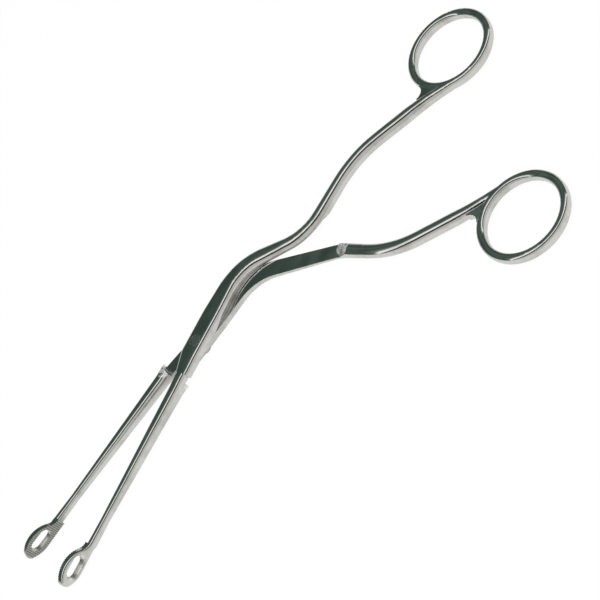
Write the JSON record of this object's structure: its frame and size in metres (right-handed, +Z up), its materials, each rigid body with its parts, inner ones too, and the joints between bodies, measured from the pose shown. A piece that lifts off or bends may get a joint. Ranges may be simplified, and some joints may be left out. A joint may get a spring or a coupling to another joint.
{
  "type": "intubation forceps",
  "caption": "Angled intubation forceps: two steel halves crossed in a lap joint on a flush rivet, with offset bowed handles, finger rings and windowed serrated jaws",
  "frame": {"origin": "centre of the rest face, the rivet's lower end in the rear half's outer lap face, on the hinge axis", "axes": "+Z up along the rivet, the instrument lying flat; +X from the jaws towards the handles, halfway between the two jaws; +Y completes the right-handed frame"},
  "size_m": [0.2615, 0.139, 0.0097],
  "materials": {
    "polished_steel": "polished stainless steel with fine file and buffing marks",
    "rivet_steel": "ground flush, fine satin"
  },
  "bodies": {
    "front": {"front_half": "polished_steel", "pivot_rivet": "rivet_steel"},
    "rear": {"rear_half": "polished_steel"}
  },
  "joints": [
    {"name": "rivet_hinge", "type": "hinge", "parent": "front", "child": "rear", "pos_m": [0, 0, 0], "axis": [0, 0, 1], "range_deg": [-33, 13]}
  ]
}
